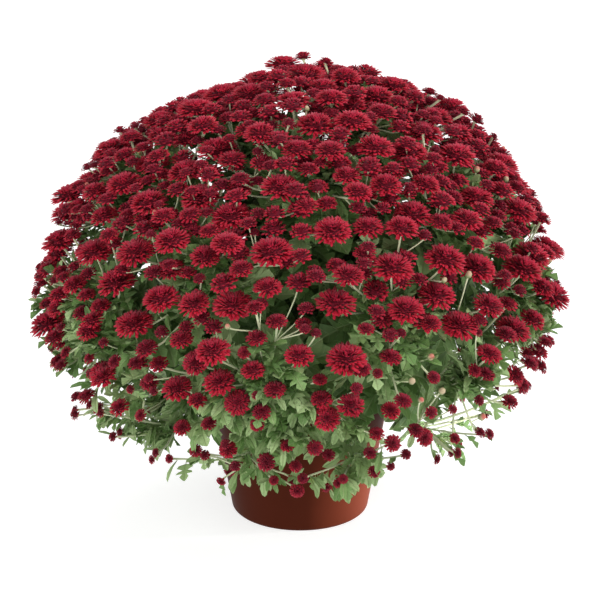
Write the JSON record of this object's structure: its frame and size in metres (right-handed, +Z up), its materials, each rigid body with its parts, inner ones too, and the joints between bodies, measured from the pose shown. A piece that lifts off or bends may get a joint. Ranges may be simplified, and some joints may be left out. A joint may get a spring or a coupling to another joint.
{
  "type": "pot chrysanthemum",
  "caption": "Dome of small crimson double blooms on leafy stems that stand in the soil of a tapered, collared terracotta-coloured plastic pot, for display on a flat surface.",
  "frame": {"origin": "middle of the pot's foot, on the plane that the pot rests on", "axes": "+Z up along the pot's axis, away from the ground; the plant is much the same all round, and +X and +Y are any two level directions at a right angle"},
  "size_m": [0.574, 0.572, 0.4956],
  "materials": {
    "pot": "satin moulded plastic, terracotta brown",
    "soil": "damp peat and bark",
    "leaf": "matt green leaf and stem",
    "bloom": "velvety crimson petals on pale green stalks"
  },
  "bodies": {
    "root": {"pot": "pot", "potting_mix": "soil", "leafy_stem_01": "leaf", "flower_spray_01": "bloom", "leafy_stem_02": "leaf", "flower_spray_02": "bloom", "leafy_stem_03": "leaf", "flower_spray_03": "bloom", "leafy_stem_04": "leaf", "flower_spray_04": "bloom", "leafy_stem_05": "leaf", "flower_spray_05": "bloom", "leafy_stem_06": "leaf", "flower_spray_06": "bloom", "leafy_stem_07": "leaf", "flower_spray_07": "bloom", "leafy_stem_08": "leaf", "flower_spray_08": "bloom", "leafy_stem_09": "leaf", "flower_spray_09": "bloom", "leafy_stem_10": "leaf", "flower_spray_10": "bloom", "leafy_stem_11": "leaf", "flower_spray_11": "bloom", "leafy_stem_12": "leaf", "flower_spray_12": "bloom", "leafy_stem_13": "leaf", "flower_spray_13": "bloom", "leafy_stem_14": "leaf", "flower_spray_14": "bloom", "leafy_stem_15": "leaf", "flower_spray_15": "bloom", "leafy_stem_16": "leaf", "flower_spray_16": "bloom", "leafy_stem_17": "leaf", "flower_spray_17": "bloom", "leafy_stem_18": "leaf", "flower_spray_18": "bloom", "leafy_stem_19": "leaf", "flower_spray_19": "bloom", "leafy_stem_20": "leaf", "flower_spray_20": "bloom", "leafy_stem_21": "leaf", "flower_spray_21": "bloom", "leafy_stem_22": "leaf", "flower_spray_22": "bloom", "leafy_stem_23": "leaf", "flower_spray_23": "bloom", "leafy_stem_24": "leaf", "flower_spray_24": "bloom", "leafy_stem_25": "leaf", "flower_spray_25": "bloom", "leafy_stem_26": "leaf", "flower_spray_26": "bloom", "leafy_stem_27": "leaf", "flower_spray_27": "bloom", "leafy_stem_28": "leaf", "flower_spray_28": "bloom"}
  },
  "joints": []
}
